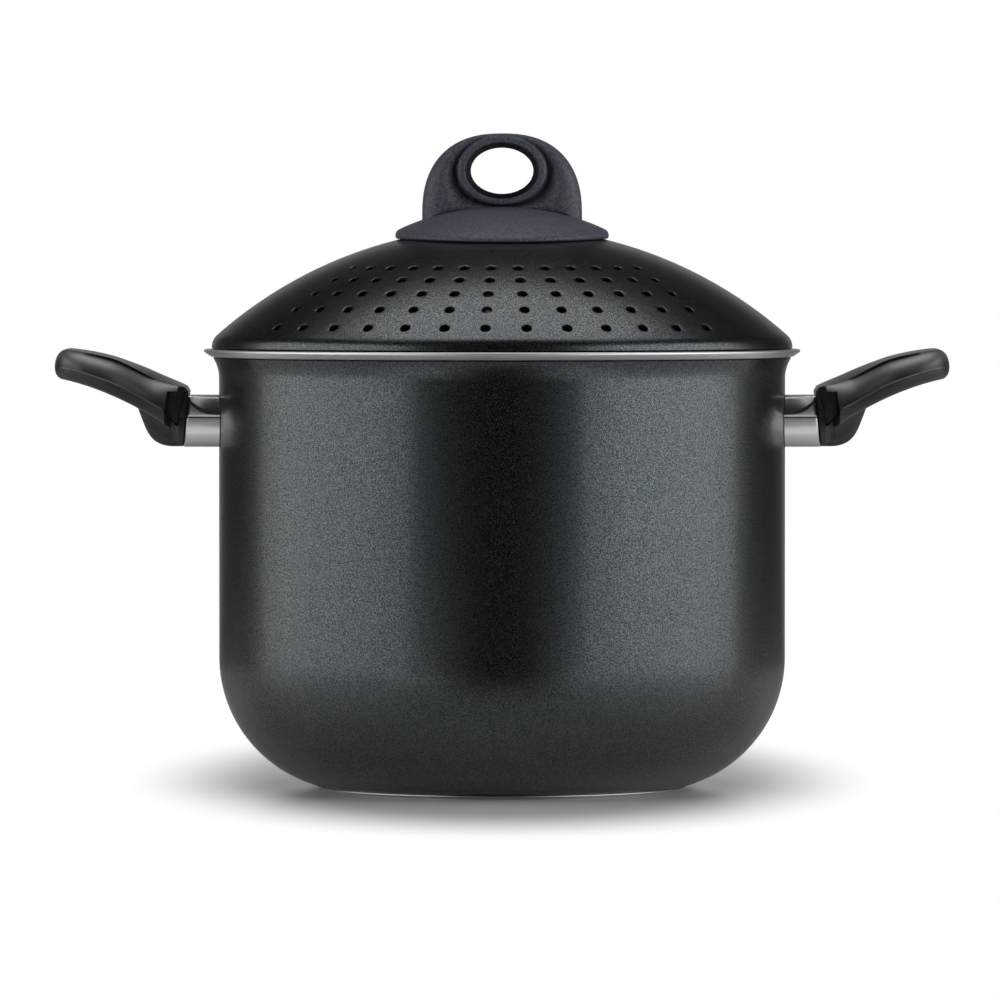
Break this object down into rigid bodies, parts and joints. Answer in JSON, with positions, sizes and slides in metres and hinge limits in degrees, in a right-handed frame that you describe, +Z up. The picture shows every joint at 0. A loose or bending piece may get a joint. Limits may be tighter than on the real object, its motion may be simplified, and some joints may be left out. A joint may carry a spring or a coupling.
{
  "type": "pasta pot with strainer lid",
  "caption": "Tall round pasta pot with side handles on flame guards and a domed lid whose pierced sector strains the water; the winged knob turns a bar that locks the lid.",
  "frame": {"origin": "centre of the underside of the base disc, at the bottom of the bounding box", "axes": "+Z up, +X towards the right handle as seen from the front, -Y towards the strainer holes"},
  "size_m": [0.3864, 0.2584, 0.2833],
  "materials": {
    "nonstick_coat": "grained dark nonstick coating on aluminium",
    "bare_base": "turned bare metal",
    "stamped_steel": "brushed",
    "polished_steel": "polished",
    "fastener_steel": "plain",
    "grip_plastic": "soft matt black",
    "knob_plastic": "matt charcoal",
    "bush_plastic": "smooth",
    "seal_rubber": "silicone",
    "insert_brass": "turned"
  },
  "bodies": {
    "pot": {"pot_floor": "nonstick_coat", "pot_corner": "nonstick_coat", "pot_wall": "nonstick_coat", "pot_rim": "nonstick_coat", "base_disc": "bare_base", "lock_keeper_right": "stamped_steel", "lock_keeper_left": "stamped_steel", "handle_stud_right": "fastener_steel", "handle_stud_left": "fastener_steel", "flame_guard_right": "polished_steel", "flame_guard_left": "polished_steel", "handle_grip_right": "grip_plastic", "handle_grip_left": "grip_plastic", "handle_screw_right": "fastener_steel", "handle_screw_left": "fastener_steel", "handle_washer_right": "fastener_steel", "handle_washer_left": "fastener_steel"},
    "lid": {"lid_shell": "nonstick_coat", "pivot_bush": "bush_plastic", "knob_seal": "seal_rubber"},
    "knob": {"twist_knob": "knob_plastic", "knob_insert": "insert_brass", "spring_washer": "fastener_steel", "lock_bar": "stamped_steel", "knob_washer": "fastener_steel", "knob_screw": "fastener_steel"}
  },
  "joints": [
    {"name": "lid_lift", "type": "slide", "parent": "pot", "child": "lid", "axis": [0, 0, 1], "range_m": [0, 0.14]},
    {"name": "knob_turn", "type": "hinge", "parent": "lid", "child": "knob", "pos_m": [0, 0, 0.24], "axis": [0, 0, -1], "range_deg": [0, 90]}
  ]
}
